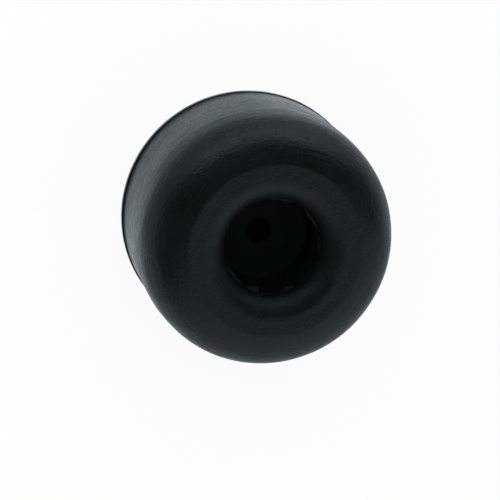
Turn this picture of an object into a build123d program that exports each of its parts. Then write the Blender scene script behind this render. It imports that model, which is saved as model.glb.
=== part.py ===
from build123d import *
import os
from math import cos, radians, tan

# Rubber foot: one round block of moulded rubber that a single countersunk wood screw
# holds under a box, bench or cabinet.
#
# Millimetres. The origin is the centre of the mounting face, which lies at Z = 0, and
# +Z runs along the foot's axis to the tread, the flat ring that stands on the floor.
# The screw goes in from the tread side: its head drops into the recess and bears on
# the recess floor, and its shank leaves through the mounting face, gripped by the rubber.

# ---------------------------------------------------------------- driving dimensions
height = 25.0              # mounting face to tread
base_radius = 20.0         # mounting face, out to the edge of the moulded lip
lip_height = 0.9           # thin lip round the mounting face, where the mould closes
lip_step = 0.2             # how far the lip stands out from the side wall
lip_root_radius = 0.15     # small round where the lip meets the side wall

tread_radius = 13.4        # outer edge of the flat tread ring
tread_edge_radius = 1.5    # soft crease between the tread and the shoulder
shoulder_slope = 20.0      # fall of the shoulder outside the tread, in degrees
shoulder_radius = 8.5      # large round between the shoulder and the side wall

recess_radius = 7.5        # straight wall of the recess that takes the screw head
recess_lip_radius = 3.5    # wide soft round from the tread into the recess
recess_floor_radius = 1.0  # round between the recess wall and its floor
base_thickness = 12.0      # rubber left under the screw head
screw_hole_radius = 2.0    # pilot hole: the rubber stretches over a wood screw of up to 6 mm

# ---------------------------------------------------------------- worked-out sizes
wall_radius = base_radius - lip_step
shoulder_width = wall_radius - tread_radius
shoulder_height = height - shoulder_width * tan(radians(shoulder_slope))
shoulder_length = shoulder_width / cos(radians(shoulder_slope))
tread_width = tread_radius - recess_radius
recess_depth = height - base_thickness


def rounding(wanted, turn, room):
    """The wanted radius at a corner that turns by so many degrees, or what its wall has room for."""
    share = 0.95
    return min(wanted, share * room / tan(radians(turn / 2)))


def rounded_corners():
    """Each soft corner of the half section as (radius, height, rounding)."""
    edge = rounding(tread_edge_radius, shoulder_slope, shoulder_length / 2)
    edge_reach = edge * tan(radians(shoulder_slope / 2))
    shoulder_turn = 90 - shoulder_slope
    shoulder_room = min(shoulder_length - edge_reach, shoulder_height - lip_height)
    lip_room = min(tread_width - edge_reach, recess_depth / 2)
    floor_room = min(recess_radius - screw_hole_radius, recess_depth / 2)
    return [
        (wall_radius, lip_height, rounding(lip_root_radius, 90, lip_step)),
        (wall_radius, shoulder_height, rounding(shoulder_radius, shoulder_turn, shoulder_room)),
        (tread_radius, height, edge),
        (recess_radius, height, rounding(recess_lip_radius, 90, lip_room)),
        (recess_radius, base_thickness, rounding(recess_floor_radius, 90, floor_room)),
    ]


def make_rubber_foot():
    """The whole foot: its half section, rounded at each soft corner, turned once round Z."""
    outline = [
        (screw_hole_radius, 0),
        (base_radius, 0),
        (base_radius, lip_height),
        (wall_radius, lip_height),
        (wall_radius, shoulder_height),
        (tread_radius, height),
        (recess_radius, height),
        (recess_radius, base_thickness),
        (screw_hole_radius, base_thickness),
    ]
    with BuildPart() as foot:
        with BuildSketch(Plane.XZ) as section:
            with BuildLine():
                Polyline(*outline, close=True)
            make_face()
            for r, z, radius in rounded_corners():
                corner = section.vertices().sort_by_distance((r, z, 0))[0]
                fillet(corner, radius=radius)
        revolve(axis=Axis.Z)
    return foot.part


def main():
    os.makedirs("parts", exist_ok=True)
    rubber_foot = make_rubber_foot()
    rubber_foot.label = "rubber_foot"
    export_step(rubber_foot, "parts/rubber_foot.step")
    box = rubber_foot.bounding_box()
    print(f"rubber_foot: {len(rubber_foot.solids())} solid, volume {rubber_foot.volume:.0f} mm3, "
          f"X {box.size.X:.2f}, Y {box.size.Y:.2f}, Z {box.min.Z:.2f} to {box.max.Z:.2f} mm")


main()
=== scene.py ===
# %% [markdown]
# # A moulded rubber foot
#
# A rubber foot is a round block of black rubber that one wood screw holds under a box or
# a bench. It comes out of its mould in one piece, so there is one body to model: a thin lip
# where the mould closes, a straight side wall, a big soft shoulder, a flat tread ring and a
# deep recess for the screw head. On a plain black thing like this the light does most of the
# work: what the eye reads as its shape is how the bright studio slides over the satin rubber.
#
# The model stands on its mounting face, and its axis is Z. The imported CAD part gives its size.

# %% Load the frame and read the real size
import bpy
import bmesh
from math import atan2, cos, degrees, pi, radians, sin, tan
from mathutils import Matrix, Vector, noise


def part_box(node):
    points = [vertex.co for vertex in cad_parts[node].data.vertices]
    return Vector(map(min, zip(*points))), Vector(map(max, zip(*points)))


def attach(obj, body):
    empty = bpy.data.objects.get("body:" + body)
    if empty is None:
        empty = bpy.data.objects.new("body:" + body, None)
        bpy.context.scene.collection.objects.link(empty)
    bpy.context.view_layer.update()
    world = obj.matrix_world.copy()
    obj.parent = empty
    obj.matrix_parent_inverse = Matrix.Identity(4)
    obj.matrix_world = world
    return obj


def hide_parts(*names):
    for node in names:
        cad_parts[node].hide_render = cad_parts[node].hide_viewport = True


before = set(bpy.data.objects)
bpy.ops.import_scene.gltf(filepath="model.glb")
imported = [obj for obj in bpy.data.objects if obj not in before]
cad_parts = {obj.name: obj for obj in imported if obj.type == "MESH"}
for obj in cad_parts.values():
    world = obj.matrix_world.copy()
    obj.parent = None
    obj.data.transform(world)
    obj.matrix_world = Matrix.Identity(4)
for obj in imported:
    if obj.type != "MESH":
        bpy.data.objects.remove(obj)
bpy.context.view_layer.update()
MM = 0.001
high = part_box("rubber_foot")[1]
base_radius = high.x
height = high.z
print(f"foot: {2 * base_radius / MM:.1f} mm across, {height / MM:.1f} mm high")

# %% [markdown]
# ## The section
#
# The foot is the same all round, so its shape is one half section turned about Z. The section
# could be typed in as a long list of points, but a drawing board does better: a pen that goes
# straight, and a pair of compasses that swings the last point about a centre. In bmesh the pen
# is `extrude_vert_indiv`, and the compasses are `spin` on a single vertex. The points lie
# close together, about half a millimetre apart, because the next steps push them about.

# %% Sizes of the section
lip_height = 0.9 * MM
lip_edge = 0.08 * MM
wall_radius = base_radius - 0.12 * MM
tread_radius = 13.4 * MM
shoulder_slope = radians(20)
shoulder_round = 8.5 * MM
entry_round = 40 * MM
entry_turn = radians(6)
crease_round = 1.5 * MM
recess_radius = 7.5 * MM
recess_lip_round = 3.5 * MM
recess_floor = 12.0 * MM
floor_round = 1.0 * MM
hole_radius = 2.0 * MM
flash_height = 21.2 * MM
print(f"tread: {2 * tread_radius / MM:.1f} mm across, recess {2 * recess_radius / MM:.1f} mm")

# %% The pen and the compasses
def pen_down(bm, r, z):
    """Start the section at a radius and a height."""
    return bmesh.ops.create_vert(bm, co=(r, 0, z))["vert"][0]


def line_to(bm, last, r, z, pieces=1):
    """Draw straight from the last point, in equal pieces."""
    start = last.co.copy()
    end = Vector((r, 0, z))
    for step in range(1, pieces + 1):
        last = bmesh.ops.extrude_vert_indiv(bm, verts=[last])["verts"][0]
        last.co = start.lerp(end, step / pieces)
    return last


def arc(bm, last, r, z, turn, steps):
    """Swing the last point about the centre (r, z) by a turn; positive goes from X to Z."""
    swung = bmesh.ops.spin(bm, geom=[last], cent=(r, 0, z), axis=(0, -1, 0),
                           angle=turn, steps=steps, use_duplicate=False)
    return [g for g in swung["geom_last"] if isinstance(g, bmesh.types.BMVert)][0]


trial = bmesh.new()
tip = arc(trial, pen_down(trial, 2, 0), 0, 0, pi / 2, 4).co
print(f"compasses: a quarter turn takes (2, 0) to ({abs(tip.x):.1f}, {tip.z:.1f})")
trial.free()

# %% Draw the outside: mounting face, lip, wall, shoulder and tread
shoulder_turn = pi / 2 - shoulder_slope - entry_turn
shoulder_r = wall_radius - entry_round + (entry_round - shoulder_round) * cos(entry_turn)
shoulder_z = height - (shoulder_round + (shoulder_r - tread_radius) * sin(shoulder_slope)
                       ) / cos(shoulder_slope)
entry_z = shoulder_z - (entry_round - shoulder_round) * sin(entry_turn)
crease_reach = crease_round * tan(shoulder_slope / 2)

body = bmesh.new()
p = pen_down(body, hole_radius, 0)
p = line_to(body, p, base_radius - lip_edge, 0, 24)
p = arc(body, p, base_radius - lip_edge, lip_edge, pi / 2, 3)
p = line_to(body, p, base_radius, lip_height - lip_edge, 3)
p = arc(body, p, base_radius - lip_edge, lip_height - lip_edge, pi / 2, 3)
p = line_to(body, p, wall_radius + 0.02 * MM, lip_height)
p = line_to(body, p, wall_radius, lip_height + 0.06 * MM)
p = line_to(body, p, wall_radius, entry_z, 26)
p = arc(body, p, wall_radius - entry_round, entry_z, entry_turn, 9)
p = arc(body, p, shoulder_r, shoulder_z, shoulder_turn, 26)
p = line_to(body, p, tread_radius + crease_reach * cos(shoulder_slope),
            height - crease_reach * sin(shoulder_slope), 4)
p = arc(body, p, tread_radius - crease_reach, height - crease_round, shoulder_slope, 5)
p = line_to(body, p, recess_radius + recess_lip_round, height, 6)
print(f"outside: {len(body.verts)} points")

# %% [markdown]
# The inside goes on from the tread. A big round leads into the recess, and where the core of
# the mould met its outer half a skin of rubber squeezed into the gap. Torn off, it leaves a
# thin ragged fin round the recess. Here the section only gets a small fin; it turns ragged
# later, when the whole ring is there.

# %% Draw the inside: the recess, its fin and the screw hole
fin_out = 0.45 * MM
fin_thick = 0.22 * MM
p = arc(body, p, recess_radius + recess_lip_round, height - recess_lip_round, pi / 2, 20)
p = line_to(body, p, recess_radius, flash_height + fin_thick / 2)
p = line_to(body, p, recess_radius - fin_out, flash_height + fin_thick / 5, 2)
p = line_to(body, p, recess_radius - fin_out, flash_height - fin_thick / 5)
p = line_to(body, p, recess_radius, flash_height - fin_thick / 2, 2)
p = line_to(body, p, recess_radius, recess_floor + floor_round, 14)
p = arc(body, p, recess_radius - floor_round, recess_floor + floor_round, -pi / 2, 6)
p = line_to(body, p, hole_radius, recess_floor, 6)
p = line_to(body, p, hole_radius, 0, 10)
bmesh.ops.remove_doubles(body, verts=body.verts, dist=1e-7)
print(f"whole section: {len(body.verts)} points")

# %% Turn the section once round Z
round_steps = 400
bmesh.ops.spin(body, geom=body.verts[:] + body.edges[:], cent=(0, 0, 0), axis=(0, 0, 1),
               angle=2 * pi, steps=round_steps, use_merge=True, use_duplicate=False)
bmesh.ops.remove_doubles(body, verts=body.verts, dist=1e-7)
bmesh.ops.recalc_face_normals(body, faces=body.faces)
for face in body.faces:
    face.smooth = True
print(f"turned: {len(body.faces)} faces")

# %% [markdown]
# ## What the mould leaves
#
# A turned shape is too perfect. Rubber comes warm out of a steel mould that a lathe cut, so
# its skin has faint rings, a slow waviness where it shrank, a lip that is thicker on one side
# and a torn fin in the recess. Most are real bumps of a few hundredths of a millimetre, and
# they matter because a glossy dark skin shows them as ripples in its reflections. Each is a
# small push along the radius or across the skin, worked out from smooth noise, which gives
# the same values each time. One push is larger and is not noise: on one side the foot of the
# wall goes in by 0.2 mm. It is a choice made for the look, so that the lip draws a wider dark
# line there. On the wall and the shoulder the pushes go both ways, within the width of the
# lip; on the tread and the lip they only go inwards, so the foot keeps its size.

# %% Noise that runs round the foot
def round_noise(angle, wide, layer):
    """Smooth noise from 0 to 1 that closes on itself after a full turn."""
    spot = Vector((cos(angle) * wide, sin(angle) * wide, layer))
    return 0.5 + 0.5 * noise.noise(spot)


def between(value, low_end, high_end):
    """0 below the low end, 1 above the high end, and a smooth slope between them."""
    t = min(max((value - low_end) / (high_end - low_end), 0), 1)
    return t * t * (3 - 2 * t)


print(f"noise: {round_noise(0, 1, 0.5):.3f} at 0 degrees, {round_noise(2 * pi, 1, 0.5):.3f} at 360")

# %% Tear the fin in the recess
flaps = [(28, 11, 0.75), (0, 17, 0.55), (72, 9, 0.50), (142, 10, 0.32), (174, 16, 0.55),
         (-138, 20, 0.40), (-70, 20, 0.12)]


def ragged(angle):
    """How far the torn fin reaches into the recess at this angle."""
    teeth = between(round_noise(angle, 9.0, 8.0), 0.30, 0.75)
    reach = 0.03 + 0.10 * round_noise(angle, 28.0, 2.0)
    for middle, half_width, length in flaps:
        away = degrees(abs((angle - radians(middle) + pi) % (2 * pi) - pi))
        reach += length * (0.5 + 0.5 * teeth) * between(half_width - away, 0, half_width * 0.6)
    return reach * MM


torn = 0
for v in body.verts:
    r = v.co.xy.length
    if abs(v.co.z - flash_height) < fin_thick / 2 - 1e-6 and r < recess_radius - 1e-6:
        angle = atan2(v.co.y, v.co.x)
        share = (recess_radius - r) / fin_out
        new_r = recess_radius - ragged(angle) * share
        droop = (round_noise(angle, 7.0, 6.0) - 0.5) * 0.9 * MM * share
        v.co.xy *= new_r / r
        v.co.z += droop
        torn += 1
print(f"fin: {torn} points torn")

# %% How deep the skin is pushed, in millimetres
shift_side = radians(-62)
shift_depth = 0.20
slow_wave, quick_wave, small_wave, band_wave = 0.03, 0.022, 0.007, 0.012
level_rise = 0.065
lip_wear = 0.03


def skin_dent(co, angle):
    """Depth of the slow waviness at a point of the skin."""
    slow = 1 + noise.noise(Vector(co) / (9 * MM) + Vector((3, 1, 7)))
    quick = 1 + noise.noise(Vector(co) / (3.4 * MM) + Vector((0, 5, 2)))
    small = 1 + noise.noise(Vector(co) / (1.5 * MM) + Vector((4, 0, 9)))
    along = (co[2] - Vector(co[:2]).length) / (0.9 * MM)
    band = 1 + noise.noise(Vector((cos(angle) * 1.5, sin(angle) * 1.5, along)))
    shift = max(cos(angle - shift_side), 0) ** 2 * (1 - between(co[2], 6 * MM, 16 * MM))
    level = between(co[2], 4 * MM, 12 * MM) * (1 - between(co[2], 22 * MM, 24.5 * MM))
    rough_skin = slow_wave * slow + quick_wave * quick + small_wave * small + band_wave * band
    return (shift_depth * shift + rough_skin - level_rise * level) * MM


print(f"wall: its foot goes in by {shift_depth:.2f} mm on one side")

# %% Let the lip and the skin wander
body.normal_update()
pushes = []
for v in body.verts:
    r = v.co.xy.length
    angle = atan2(v.co.y, v.co.x)
    if v.co.z < lip_height + 1e-5 and r > wall_radius:
        thin = (lip_wear * round_noise(angle, 2.2, 1.0)
                + lip_wear * round_noise(angle, 14, 3.0)) * MM
        pushes.append((v, Vector((-cos(angle), -sin(angle), 0)) * thin * between(
            r, wall_radius, base_radius)))
    elif v.co.z > lip_height and r > recess_radius + 1e-5:
        pushes.append((v, -v.normal * skin_dent(v.co, angle) * between(
            v.co.z, 0.8 * lip_height, 1.2 * lip_height)))
for v, push in pushes:
    v.co += push
print(f"skin: {len(pushes)} points pushed")

# %% Make it an object
mesh = bpy.data.meshes.new("rubber_foot_body")
body.to_mesh(mesh)
body.free()
foot = bpy.data.objects.new("rubber_foot_body", mesh)
bpy.context.scene.collection.objects.link(foot)
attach(foot, "root")
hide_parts("rubber_foot")
print(f"foot: {len(mesh.polygons)} faces")

# %% [markdown]
# ## Black moulded rubber
#
# Moulded rubber is nearly black and satin. It has the fine rings of the lathe-cut mould, a
# faint grain, patches that are a little duller where wax has bloomed to the surface, and dust.
# A flat grey would show none of it, so roughness and bump come from nodes. All the patterns
# read Object coordinates, in metres, so they sit still on the rubber. For the rings the point
# is turned into a new one: its direction round the axis, which changes slowly, and how far it
# is along the section, which changes fast. Noise in that space is long streaks round the foot.
# The colour draws the strongest of these streaks lighter, as a painted highlight of the rings.
#
# The base colour is about half a percent. Black rubber is usually taken as 2 to 4 percent, so
# this is a choice made together with the light, and under other light it may look too black.
# Down in the recess the colour also carries painted shade, about a fifth darker, and the rubber is
# made duller there, by place.

# %% Small helpers for nodes
def add(tree, kind, **settings):
    """Add a node and set its properties."""
    node = tree.nodes.new(kind)
    for key, value in settings.items():
        setattr(node, key, value)
    return node


def feed(tree, socket, value):
    """Give a socket a link or a plain value."""
    if isinstance(value, bpy.types.NodeSocket):
        tree.links.new(value, socket)
    else:
        socket.default_value = value


def maths(tree, operation, a, b=0.0, clamp=False):
    """One sum on numbers; gives its result socket."""
    node = add(tree, "ShaderNodeMath", operation=operation, use_clamp=clamp)
    feed(tree, node.inputs[0], a)
    feed(tree, node.inputs[1], b)
    return node.outputs[0]


def vector_maths(tree, operation, a, b=(0, 0, 0), result="Vector"):
    """One sum on vectors; gives its result socket."""
    node = add(tree, "ShaderNodeVectorMath", operation=operation)
    feed(tree, node.inputs[0], a)
    feed(tree, node.inputs[1], b)
    return node.outputs[result]


print("node helpers: add, feed, maths and vector_maths")

# %% Helpers for ranges and noise
def remap(tree, value, old, new, smooth=False):
    """Stretch a value from one range to another."""
    node = add(tree, "ShaderNodeMapRange", clamp=True)
    if smooth:
        node.interpolation_type = "SMOOTHSTEP"
    feed(tree, node.inputs["Value"], value)
    feed(tree, node.inputs["From Min"], old[0])
    feed(tree, node.inputs["From Max"], old[1])
    feed(tree, node.inputs["To Min"], new[0])
    feed(tree, node.inputs["To Max"], new[1])
    return node.outputs["Result"]


def cloud(tree, vector, scale, detail=3.0, rough=0.5):
    """Noise from about 0.25 to 0.75."""
    node = add(tree, "ShaderNodeTexNoise", noise_dimensions="3D")
    feed(tree, node.inputs["Vector"], vector)
    feed(tree, node.inputs["Scale"], scale)
    feed(tree, node.inputs["Detail"], detail)
    feed(tree, node.inputs["Roughness"], rough)
    return node.outputs["Fac"]


print("node helpers: remap and cloud")

# %% Where a point is: round the foot, and along its section
rubber = bpy.data.materials.new("black_rubber")
rubber.use_nodes = True
tree = rubber.node_tree
shader = tree.nodes["Principled BSDF"]
place = add(tree, "ShaderNodeTexCoord").outputs["Object"]
flat = vector_maths(tree, "MULTIPLY", place, (1, 1, 0))
reach = vector_maths(tree, "LENGTH", flat, result="Value")
way_round = vector_maths(tree, "NORMALIZE", flat)
parts = add(tree, "ShaderNodeSeparateXYZ")
feed(tree, parts.inputs[0], place)
rise = parts.outputs["Z"]
along = maths(tree, "SUBTRACT", reach, rise)


def ring_space(turns, per_metre):
    """Coordinates whose noise is streaks round the foot."""
    node = add(tree, "ShaderNodeCombineXYZ")
    feed(tree, node.inputs["Z"], maths(tree, "MULTIPLY", along, per_metre))
    spread = vector_maths(tree, "MULTIPLY", way_round, (turns, turns, turns))
    return vector_maths(tree, "ADD", spread, node.outputs[0])


print(f"places: {len(tree.nodes)} nodes so far")

# %% The patterns
fine_rings = cloud(tree, ring_space(5.0, 3400), 1.0, 3.0, 0.65)
wide_rings = cloud(tree, ring_space(4.0, 700), 1.0, 3.0, 0.6)
grain = cloud(tree, place, 2600, 3.0, 0.6)
mottle = cloud(tree, place, 600, 4.0, 0.6)
bloom = cloud(tree, place, 95, 3.0, 0.55)
specks = add(tree, "ShaderNodeTexVoronoi", feature="F1")
feed(tree, specks.inputs["Vector"], place)
feed(tree, specks.inputs["Scale"], 420)
speck_size = maths(tree, "MULTIPLY", cloud(tree, place, 700, 1.0), 0.16)
dust = maths(tree, "LESS_THAN", specks.outputs["Distance"],
             maths(tree, "SUBTRACT", speck_size, 0.045))
# deep is 1 down in the recess: there it darkens the colour as painted shade, and makes the rubber
# duller
deep = maths(tree, "MULTIPLY",
             remap(tree, reach, (7.6 * MM, 8.4 * MM), (1.0, 0.0), smooth=True),
             remap(tree, rise, (19 * MM, 22 * MM), (1.0, 0.0), smooth=True))
print(f"patterns: {len(tree.nodes)} nodes so far")

# %% Colour
black, blue_black = (0.0037, 0.0046, 0.0042, 1), (0.0044, 0.0054, 0.0056, 1)
# The darkest black is painted shade for the inside of the recess
# The lighter black on the mould's rings is a painted highlight
ring_sheen_black, painted_shade_black = (0.0095, 0.0112, 0.0115, 1), (0.001, 0.0014, 0.0012, 1)
dust_grey = (0.05, 0.05, 0.048, 1)


def mix_colour(tree, share, a, b):
    """Colour a, with a share of colour b."""
    node = add(tree, "ShaderNodeMix", data_type="RGBA")
    feed(tree, node.inputs["Factor"], share)
    feed(tree, node.inputs["A"], a)
    feed(tree, node.inputs["B"], b)
    return node.outputs["Result"]


tint = mix_colour(tree, remap(tree, bloom, (0.35, 0.65), (0.0, 1.0)), black, blue_black)
# Painted highlight: the strongest parts of the fine rings are drawn up to halfway to a lighter
# black
rings_with_painted_sheen = mix_colour(tree, remap(tree, fine_rings, (0.56, 0.76), (0.0, 0.5)), tint, ring_sheen_black)
# Painted shade: down in the recess a quarter of the colour is swapped for a darker black
with_painted_shade = mix_colour(tree, maths(tree, "MULTIPLY", deep, 0.25), rings_with_painted_sheen, painted_shade_black)
dusty = mix_colour(tree, maths(tree, "MULTIPLY", dust, 0.35), with_painted_shade, dust_grey)
feed(tree, shader.inputs["Base Color"], dusty)
print(f"colour: {len(tree.nodes)} nodes so far")

# %% Roughness
satin, deep_dull, torn_dull = 0.26, 0.35, 0.22
dull = remap(tree, bloom, (0.3, 0.7), (-0.05, 0.09))
ringed = remap(tree, fine_rings, (0.3, 0.7), (-0.06, 0.08))
spotted = remap(tree, mottle, (0.3, 0.7), (-0.04, 0.05))
rough = maths(tree, "ADD", maths(tree, "ADD", dull, ringed), spotted)
torn_skin = remap(tree, reach, (10.2 * MM, 8.6 * MM), (0.0, torn_dull), smooth=True)
rough = maths(tree, "ADD", maths(tree, "MULTIPLY", deep, deep_dull), rough)
rough = maths(tree, "ADD", torn_skin, rough)
feed(tree, shader.inputs["Roughness"], maths(tree, "ADD", rough, satin, clamp=True))
shader.inputs["Specular Tint"].default_value = (0.92, 0.99, 1.0, 1)
print(f"roughness: about {satin}, and {satin + deep_dull + torn_dull:.2f} in the recess")

# %% Bump
ripple_depth = pebble_depth = 0.055 * MM
ripples = add(tree, "ShaderNodeBump")
feed(tree, ripples.inputs["Strength"], remap(tree, rise, (21 * MM, 24.5 * MM), (1.0, 0.45)))
feed(tree, ripples.inputs["Distance"], ripple_depth)
feed(tree, ripples.inputs["Height"], maths(
    tree, "ADD", maths(tree, "MULTIPLY", wide_rings, 2.0), fine_rings))
pebbles = add(tree, "ShaderNodeBump")
feed(tree, pebbles.inputs["Strength"], 1.0)
feed(tree, pebbles.inputs["Distance"], pebble_depth)
feed(tree, pebbles.inputs["Height"], maths(tree, "ADD", grain, maths(
    tree, "MULTIPLY", mottle, 1.5)))
feed(tree, pebbles.inputs["Normal"], ripples.outputs["Normal"])
feed(tree, shader.inputs["Normal"], pebbles.outputs["Normal"])
foot.data.materials.append(rubber)
print(f"rubber: {len(tree.nodes)} nodes")

# %% [markdown]
# ## The camera
#
# The foot lies with its tread towards the viewer, turned 19 degrees aside. The camera is about
# a third of a metre away, so the mounting face, which is farther off, looks a little smaller
# than the near parts. A camera could be aimed with a Track To constraint, but three directions
# say the same and can be read: the way it looks, the way that is right for it, and up.

# %% Camera
camera_place = Vector((0, -99.1, 304.3)) * MM
view_axis = Vector((0.0097, 0.3254, -0.9456)).normalized()
image_right = Vector((-0.7671, 0.608, 0.2013))
image_right = (image_right - image_right.dot(view_axis) * view_axis).normalized()
image_up = image_right.cross(view_axis)
camera_data = bpy.data.cameras.new("camera")
camera_data.sensor_width = 36
camera_data.lens = 142.7
camera_data.clip_start = 0.01
camera = bpy.data.objects.new("camera", camera_data)
camera.matrix_world = Matrix.Translation(camera_place) @ Matrix(
    (image_right, image_up, -view_axis)).transposed().to_4x4()
bpy.context.scene.collection.objects.link(camera)
bpy.context.scene.camera = camera
print(f"camera: {camera_place.length / MM:.0f} mm away")

# %% [markdown]
# ## The studio
#
# The floor is pale and plain, and the world is a plain white room, so that colours render
# about as they are written. For rays that come from the camera both are nearly white of
# themselves. That keeps the background bright without more light on the foot, and the rest
# of the floor's colour is lit as usual, so the shadow stays. Reflections see the floor in
# another way: as a pool of slightly blue light, white beside the foot, weaker farther out and
# on one side, and dark underneath. Plain paper does not behave like that, and a shiny metal
# part would not show this background. It stands for a small lit table in a darker room, and it
# is there because the foot's wall mirrors little else.

# %% Which rays see the background
def background_rays(tree):
    """1 for rays from the camera, or by reflection or through glass; 0 for the others."""
    path = add(tree, "ShaderNodeLightPath")
    seen = maths(tree, "MAXIMUM", path.outputs["Is Camera Ray"], path.outputs["Is Glossy Ray"])
    return maths(tree, "MAXIMUM", seen, path.outputs["Is Transmission Ray"])


print("background: for camera, glossy and transmission rays")

# %% Floor
floor_size = 3
bpy.ops.mesh.primitive_plane_add(size=floor_size, location=(0, 0, 0))
floor = bpy.context.object
floor.name = "floor"
paper = bpy.data.materials.new("pale_paper")
paper.use_nodes = True
tree = paper.node_tree
matt = tree.nodes["Principled BSDF"]
matt.inputs["Base Color"].default_value = (0.8, 0.8, 0.8, 1)
matt.inputs["Roughness"].default_value = 0.9
matt.inputs["Specular IOR Level"].default_value = 0.0
print(f"floor: {floor_size} m of pale paper")

# %% The pool of light that reflections see on the floor
near_fall, far_fall, side_fall = (1.0, 0.66), (1.0, 0.60), (1.0, 0.70)
spot = add(tree, "ShaderNodeTexCoord").outputs["Object"]
from_axis = vector_maths(tree, "LENGTH", spot, result="Value")
outside = remap(tree, from_axis, (17 * MM, 20 * MM), (0.0, 1.0), smooth=True)
pool = maths(tree, "MULTIPLY",
             remap(tree, from_axis, (20.3 * MM, 24.5 * MM), near_fall),
             remap(tree, from_axis, (24.5 * MM, 44 * MM), far_fall))
dim_way = (image_up - image_right).normalized()
toward_dim = vector_maths(tree, "DOT_PRODUCT", vector_maths(tree, "NORMALIZE", spot),
                          Vector((dim_way.x, dim_way.y, 0)).normalized(), result="Value")
pool = maths(tree, "MULTIPLY", pool,
             remap(tree, toward_dim, (0.5, 1.0), side_fall, smooth=True))
print(f"pool: falls to {near_fall[1] * far_fall[1]:.2f} at 44 mm")

# %% Blend the lit paper with what each ray sees
paper_glow = 0.93
pool_tint = (0.88, 0.97, 1, 1)
glow = add(tree, "ShaderNodeEmission")
blend = add(tree, "ShaderNodeMixShader")
mirrored = add(tree, "ShaderNodeLightPath").outputs["Is Glossy Ray"]
share = remap(tree, mirrored, (0, 1), (paper_glow, 1.0))
feed(tree, blend.inputs["Fac"], maths(tree, "MULTIPLY", background_rays(tree), maths(
    tree, "MULTIPLY", share, maths(tree, "MAXIMUM", outside, mirrored))))
feed(tree, glow.inputs["Color"], mix_colour(tree, mirrored, (1, 1, 1, 1), pool_tint))
dimmed = maths(tree, "MULTIPLY", pool, outside)
feed(tree, glow.inputs["Strength"], maths(tree, "SUBTRACT", 1.0, maths(
    tree, "MULTIPLY", mirrored, maths(tree, "SUBTRACT", 1.0, dimmed))))
tree.links.new(matt.outputs[0], blend.inputs[1])
tree.links.new(glow.outputs[0], blend.inputs[2])
tree.links.new(blend.outputs[0], tree.nodes["Material Output"].inputs["Surface"])
floor.data.materials.append(paper)
print(f"paper: {len(tree.nodes)} nodes")

# %% World
room_level, seen_level = 0.8, 1.0
world = bpy.data.worlds.new("white_room")
bpy.context.scene.world = world
world.use_nodes = True
tree = world.node_tree
room = tree.nodes["Background"]
feed(tree, room.inputs["Color"], (1, 1, 1, 1))
feed(tree, room.inputs["Strength"], remap(
    tree, background_rays(tree), (0, 1), (room_level, seen_level)))
print(f"world: a white room of strength {room_level}")

# %% [markdown]
# ## The tent and the key lamp
#
# A shiny black thing has almost no colour of its own, so what one sees of it is reflections.
# In a studio one hangs a tent and dark flags round it and looks at what it mirrors, before
# thinking of brightness. Here the tent is a big sphere that only reflections see, so they
# see it instead of the white room. It stays where it is when the camera moves. Its front
# is dark, as the room behind a camera is; it brightens towards the lower edge; and one
# broad soft patch stands low behind the foot, which draws the pale sheen on its wall and
# shoulder. The key lamp gives the light itself and the soft shadow.

# %% Tent
tent_radius = 1.2
shell = bmesh.new()
bmesh.ops.create_uvsphere(shell, u_segments=48, v_segments=24, radius=tent_radius)
bmesh.ops.reverse_faces(shell, faces=shell.faces)
tent_mesh = bpy.data.meshes.new("tent")
shell.to_mesh(tent_mesh)
shell.free()
tent = bpy.data.objects.new("tent", tent_mesh)
bpy.context.scene.collection.objects.link(tent)
tent.visible_camera = False
tent.visible_diffuse = False
tent.visible_transmission = False
tent.visible_shadow = False
print(f"tent: a sphere of {len(tent_mesh.polygons)} faces, {2 * tent_radius:.1f} m across")

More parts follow.
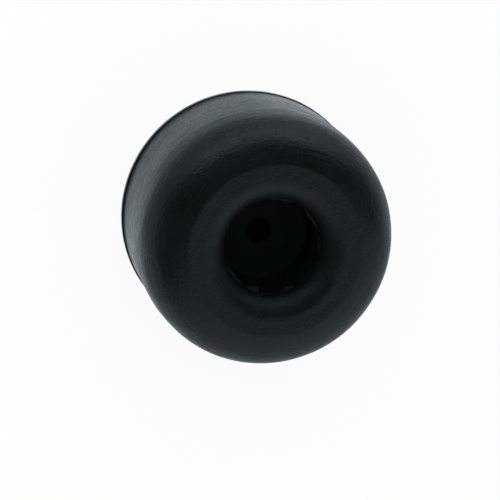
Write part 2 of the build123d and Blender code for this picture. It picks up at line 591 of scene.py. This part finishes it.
# %% What the tent shows
flat_up = Vector((image_up.x, image_up.y, 0)).normalized()
flat_right = Vector((image_right.x, image_right.y, 0)).normalized()
patch_strength = 1.8
bright_side = (0.35 * image_right - 0.94 * image_up).normalized()
cloth = bpy.data.materials.new("tent_cloth")
cloth.use_nodes = True
tree = cloth.node_tree
tree.nodes.remove(tree.nodes["Principled BSDF"])
way = vector_maths(tree, "NORMALIZE", add(tree, "ShaderNodeTexCoord").outputs["Object"])
side = vector_maths(tree, "DOT_PRODUCT", way, bright_side, result="Value")
ramp = add(tree, "ShaderNodeValToRGB")
feed(tree, ramp.inputs["Fac"], remap(tree, side, (-1, 1), (0, 1)))
steps = [(-1.0, 0.06), (-0.2, 0.03), (0.05, 0.02), (0.35, 0.06), (0.6, 0.33), (0.95, 0.44)]
for number, (where, level) in enumerate(steps):
    mark = ramp.color_ramp.elements[0] if number == 0 else ramp.color_ramp.elements.new(
        (where + 1) / 2)
    mark.position = (where + 1) / 2
    mark.color = (0.84 * level, level, 0.98 * level, 1)
ramp.color_ramp.elements.remove(ramp.color_ramp.elements[-1])
near_patch = remap(tree, vector_maths(tree, "DOT_PRODUCT", way, flat_up, result="Value"),
                   (0.45, 0.85), (0.0, 1.0), smooth=True)
tall = add(tree, "ShaderNodeSeparateXYZ")
feed(tree, tall.inputs[0], way)
low_down = remap(tree, tall.outputs["Z"], (0.34, 0.12), (0.0, 1.0), smooth=True)
patch = maths(tree, "MULTIPLY", near_patch, low_down)
cloth_light = add(tree, "ShaderNodeEmission")
feed(tree, cloth_light.inputs["Color"], ramp.outputs["Color"])
patch_light = add(tree, "ShaderNodeEmission")
feed(tree, patch_light.inputs["Color"], (0.78, 0.91, 1, 1))
feed(tree, patch_light.inputs["Strength"], maths(tree, "MULTIPLY", patch, patch_strength))
both = add(tree, "ShaderNodeAddShader")
tree.links.new(cloth_light.outputs[0], both.inputs[0])
tree.links.new(patch_light.outputs[0], both.inputs[1])
tree.links.new(both.outputs[0], tree.nodes["Material Output"].inputs["Surface"])
cloth.cycles.emission_sampling = "NONE"
tent.data.materials.append(cloth)
print(f"tent cloth: {len(tree.nodes)} nodes")

# %% Key lamp
key_width, key_height, key_far = 0.6, 0.5, 0.7
key_level = 1.5
lamp_data = bpy.data.lights.new("key", "AREA")
lamp_data.shape = "RECTANGLE"
lamp_data.size = key_width
lamp_data.size_y = key_height
lamp_data.energy = key_level * pi * key_width * key_height
lamp = bpy.data.objects.new("key", lamp_data)
lamp_way = (flat_up - 0.25 * flat_right + Vector((0, 0, 1.1))).normalized()
lamp_right = Vector((0, 0, 1)).cross(lamp_way).normalized()
lamp.matrix_world = Matrix.Translation(lamp_way * key_far) @ Matrix(
    (lamp_right, lamp_way.cross(lamp_right), lamp_way)).transposed().to_4x4()
lamp.visible_glossy = False
bpy.context.scene.collection.objects.link(lamp)
bpy.context.scene.view_settings.view_transform = "Standard"
print(f"key lamp: {lamp_data.energy:.2f} W")
